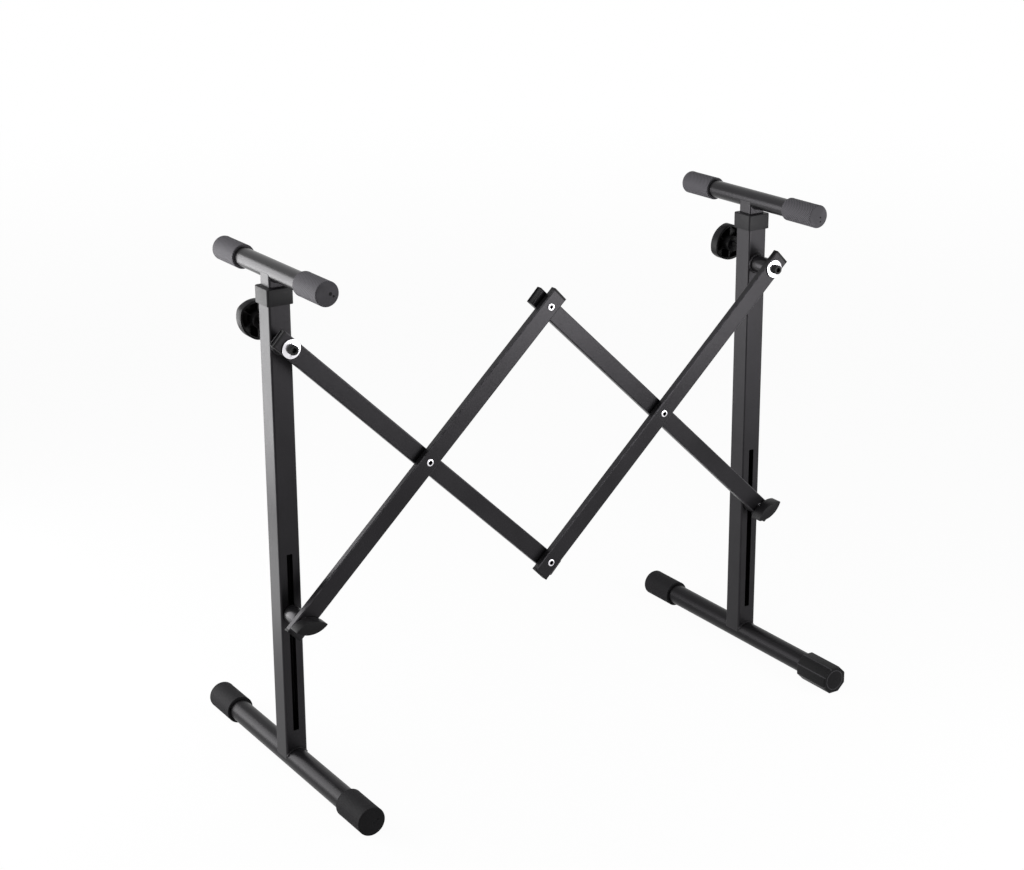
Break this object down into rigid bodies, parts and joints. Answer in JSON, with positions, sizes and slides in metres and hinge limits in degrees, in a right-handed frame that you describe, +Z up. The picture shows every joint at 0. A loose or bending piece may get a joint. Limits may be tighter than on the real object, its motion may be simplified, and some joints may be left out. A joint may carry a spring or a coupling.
{
  "type": "folding keyboard stand",
  "caption": "Folding keyboard stand: side frames with height-adjustable padded rests, joined by a double scissor of flat bars with slotted columns and wing knobs.",
  "frame": {"origin": "floor level, midway between the two column centre lines and midway between the front and rear ends of the base tubes", "axes": "+X to the player's right along the keyboard, -Y towards the player (the scissor is on this side of the columns), +Z up"},
  "size_m": [0.8006, 0.435, 0.6923],
  "materials": {
    "powder_coat": "satin black powder coat on steel tube",
    "cap_rubber": "matt, fine grain, dark grey",
    "collar_plastic": "moulded, matt black",
    "plug_plastic": "moulded, matt black",
    "guide_plastic": "natural nylon",
    "knob_plastic": "moulded, fine grain, black",
    "bright_zinc": "bright plated steel",
    "black_steel": "black oxide steel"
  },
  "bodies": {
    "left_frame": {"base_tube_left": "powder_coat", "base_cap_front_left": "cap_rubber", "base_cap_rear_left": "cap_rubber", "column_left": "powder_coat", "collar_left": "collar_plastic", "pivot_boss_left": "powder_coat", "pivot_screw_left": "black_steel", "pivot_washer_left": "bright_zinc", "clamp_nut_left": "black_steel"},
    "left_clamp": {"clamp_knob_left": "knob_plastic", "clamp_stud_left": "black_steel"},
    "left_mast": {"mast_left": "powder_coat", "mast_guide_left": "guide_plastic", "rest_tube_left": "powder_coat", "rest_cap_front_left": "cap_rubber", "rest_cap_rear_left": "cap_rubber"},
    "bar_left_back": {"scissor_bar_left_back": "powder_coat", "end_plugs_left_back": "plug_plastic", "rivet_left": "bright_zinc", "rivet_bottom": "bright_zinc", "spacer_washer_left": "bright_zinc", "spacer_washer_bottom": "bright_zinc"},
    "bar_left_front": {"scissor_bar_left_front": "powder_coat", "end_plugs_left_front": "plug_plastic", "rivet_top": "bright_zinc", "spacer_washer_top": "bright_zinc"},
    "bar_right_back": {"scissor_bar_right_back": "powder_coat", "end_plugs_right_back": "plug_plastic", "rivet_right": "bright_zinc", "spacer_washer_right": "bright_zinc"},
    "bar_right_front": {"scissor_bar_right_front": "powder_coat", "end_plugs_right_front": "plug_plastic"},
    "right_frame": {"base_tube_right": "powder_coat", "base_cap_rear_right": "cap_rubber", "column_right": "powder_coat", "collar_right": "collar_plastic", "pivot_boss_right": "powder_coat", "pivot_screw_right": "black_steel", "pivot_washer_right": "bright_zinc", "clamp_nut_right": "black_steel"},
    "right_clamp": {"clamp_knob_right": "knob_plastic", "clamp_stud_right": "black_steel"},
    "right_mast": {"mast_right": "powder_coat", "mast_guide_right": "guide_plastic", "rest_tube_right": "powder_coat", "rest_cap_front_right": "cap_rubber", "rest_cap_rear_right": "cap_rubber"},
    "left_slider": {"slide_bolt_left": "black_steel", "slide_bush_left": "powder_coat", "knob_washer_left": "bright_zinc"},
    "right_slider": {"slide_bolt_right": "black_steel", "slide_bush_right": "powder_coat", "knob_washer_right": "bright_zinc"},
    "left_wing": {"wing_knob_left": "knob_plastic"},
    "right_wing": {"wing_knob_right": "knob_plastic"},
    "levelling_foot": {"levelling_foot": "cap_rubber"}
  },
  "joints": [
    {"name": "fold", "type": "hinge", "parent": "left_frame", "child": "bar_left_back", "pos_m": [-0.375, 0, 0.58529], "axis": [0, 1, 0], "range_deg": [-10.5, 41.49]},
    {"name": "left_cross", "type": "hinge", "parent": "bar_left_back", "child": "bar_left_front", "pos_m": [-0.1875, 0, 0.40517], "axis": [0, 1, 0], "range_deg": [-83, 21]},
    {"name": "top_cross", "type": "hinge", "parent": "bar_left_front", "child": "bar_right_back", "pos_m": [0, 0, 0.58529], "axis": [0, 1, 0], "range_deg": [-21, 83]},
    {"name": "bottom_cross", "type": "hinge", "parent": "bar_left_back", "child": "bar_right_front", "pos_m": [0, 0, 0.22504], "axis": [0, 1, 0], "range_deg": [-83, 21]},
    {"name": "right_upper_pivot", "type": "hinge", "parent": "bar_right_front", "child": "right_frame", "pos_m": [0.375, 0, 0.58529], "axis": [0, 1, 0], "range_deg": [-10.5, 41.5]},
    {"name": "left_slider_pivot", "type": "hinge", "parent": "bar_left_front", "child": "left_slider", "pos_m": [-0.375, 0, 0.22504], "axis": [0, 1, 0], "range_deg": [-10.5, 41.5]},
    {"name": "right_slider_pivot", "type": "hinge", "parent": "bar_right_back", "child": "right_slider", "pos_m": [0.375, 0, 0.22504], "axis": [0, 1, 0], "range_deg": [-41.5, 10.5]},
    {"name": "left_height", "type": "slide", "parent": "left_frame", "child": "left_mast", "axis": [0, 0, 1], "range_m": [0, 0.25]},
    {"name": "right_height", "type": "slide", "parent": "right_frame", "child": "right_mast", "axis": [0, 0, 1], "range_m": [0, 0.25]},
    {"name": "left_clamp_turn", "type": "hinge", "parent": "left_frame", "child": "left_clamp", "pos_m": [-0.375, 0, 0.60329], "axis": [0, 1, 0], "continuous": true},
    {"name": "right_clamp_turn", "type": "hinge", "parent": "right_frame", "child": "right_clamp", "pos_m": [0.375, 0, 0.60329], "axis": [0, 1, 0], "continuous": true},
    {"name": "left_wing_turn", "type": "hinge", "parent": "left_slider", "child": "left_wing", "pos_m": [-0.375, 0, 0.22504], "axis": [0, 1, 0], "continuous": true},
    {"name": "right_wing_turn", "type": "hinge", "parent": "right_slider", "child": "right_wing", "pos_m": [0.375, 0, 0.22504], "axis": [0, 1, 0], "continuous": true},
    {"name": "foot_turn", "type": "hinge", "parent": "right_frame", "child": "levelling_foot", "pos_m": [0.375, 0, 0.019], "axis": [0, 1, 0], "continuous": true}
  ],
  "couplings": [
    {"joint": "left_cross", "follows": "fold", "ratio": -2},
    {"joint": "top_cross", "follows": "fold", "ratio": 2},
    {"joint": "bottom_cross", "follows": "fold", "ratio": -2},
    {"joint": "right_upper_pivot", "follows": "fold", "ratio": 1},
    {"joint": "left_slider_pivot", "follows": "fold", "ratio": 1},
    {"joint": "right_slider_pivot", "follows": "fold", "ratio": -1}
  ]
}
